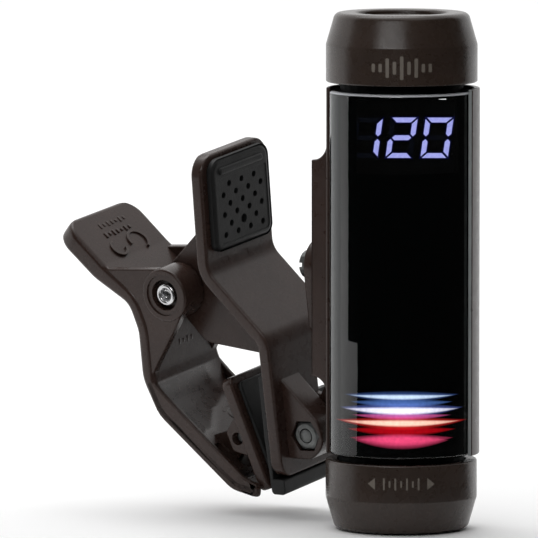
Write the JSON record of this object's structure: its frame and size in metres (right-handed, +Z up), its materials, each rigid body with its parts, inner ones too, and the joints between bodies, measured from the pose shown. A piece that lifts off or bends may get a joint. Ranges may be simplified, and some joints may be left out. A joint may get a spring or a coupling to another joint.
{
  "type": "clip on tuner",
  "caption": "Pocket tempo and tuning display in a round tube with a turning ring at each end, on a swivel arm and a sprung clip with rubber jaws.",
  "frame": {"origin": "middle of the gripping face on the clip's fixed jaw pad", "axes": "+Z runs up along the display tube, -Y is the way the display faces, the clip is on the -X side"},
  "size_m": [0.0601, 0.0486, 0.073],
  "materials": {
    "brown_plastic": "satin moulded dark brown, fine texture",
    "ring_plastic": "satin dark brown, slightly metallic lacquer",
    "black_plastic": "matt black inner moulding",
    "window": "polished smoked window",
    "digits": "black display with cold white figures",
    "lights": "black diffuser with white, red and blue light lines",
    "rubber": "moulded black rubber",
    "steel": "bright nickelled steel",
    "black_steel": "black oxide steel, worn to grey on its edges",
    "board": "green lacquered circuit board",
    "cell": "printed metal jacket, no lettering",
    "piezo": "plain brass disc"
  },
  "bodies": {
    "clip_front": {"fixed_lever": "brown_plastic", "grip_pad": "rubber", "fixed_jaw_pad": "rubber", "hinge_nut": "black_steel", "hinge_bolt": "black_steel", "pivot_eyelet": "steel", "torsion_spring": "steel"},
    "clip_rear": {"moving_lever": "brown_plastic", "shoe_pin": "black_steel"},
    "shoe": {"jaw_shoe": "brown_plastic", "shoe_pad": "rubber"},
    "arm": {"swing_arm": "brown_plastic", "swivel_washer": "black_steel"},
    "display_body": {"rear_housing": "brown_plastic", "display_window": "window", "digit_display": "digits", "front_baffle": "black_plastic", "light_bar_display": "lights", "chassis": "black_plastic", "circuit_board": "board", "battery_cell": "cell", "contact_spring": "steel", "contact_plate": "steel", "piezo_disc": "piezo", "top_plug": "brown_plastic", "bottom_plug": "brown_plastic", "top_return_spring": "steel", "bottom_return_spring": "steel", "top_switch": "black_plastic", "bottom_switch": "black_plastic", "swivel_screw": "black_steel"},
    "upper_ring": {"top_ring": "ring_plastic"},
    "lower_ring": {"bottom_ring": "ring_plastic"},
    "door": {"battery_door": "brown_plastic"}
  },
  "joints": [
    {"name": "clip_open", "type": "hinge", "parent": "clip_front", "child": "clip_rear", "pos_m": [-0.01411, 0.00627, 0.01923], "axis": [0.5797, 0.7979, 0.165], "range_deg": [0, 35], "stiffness_Nm_per_rad": 0.2, "springref_deg": -28.65, "deforming": ["torsion_spring"]},
    {"name": "shoe_tilt", "type": "hinge", "parent": "clip_rear", "child": "shoe", "pos_m": [-0.00431, 0.00342, -0.00138], "axis": [0.5797, 0.7979, 0.165], "range_deg": [0, 10]},
    {"name": "arm_tilt", "type": "hinge", "parent": "clip_front", "child": "arm", "pos_m": [0.00505, -0.00359, -0.00039], "axis": [0.5797, 0.7979, 0.165], "range_deg": [-12, 35]},
    {"name": "body_swivel", "type": "hinge", "parent": "arm", "child": "display_body", "pos_m": [0.00533, -0.00865, 0.02308], "axis": [-0.809, 0.5878, 0], "range_deg": [-90, 90]},
    {"name": "upper_ring_turn", "type": "hinge", "parent": "display_body", "child": "upper_ring", "pos_m": [0.01529, -0.01588, 0.02308], "axis": [0, 0, 1], "range_deg": [-15, 15], "stiffness_Nm_per_rad": 0.01},
    {"name": "lower_ring_turn", "type": "hinge", "parent": "display_body", "child": "lower_ring", "pos_m": [0.01529, -0.01588, 0.02308], "axis": [0, 0, 1], "range_deg": [-15, 15], "stiffness_Nm_per_rad": 0.01},
    {"name": "door_pull", "type": "slide", "parent": "display_body", "child": "door", "axis": [0.1564, 0.9877, 0], "range_m": [0, 0.005]}
  ]
}
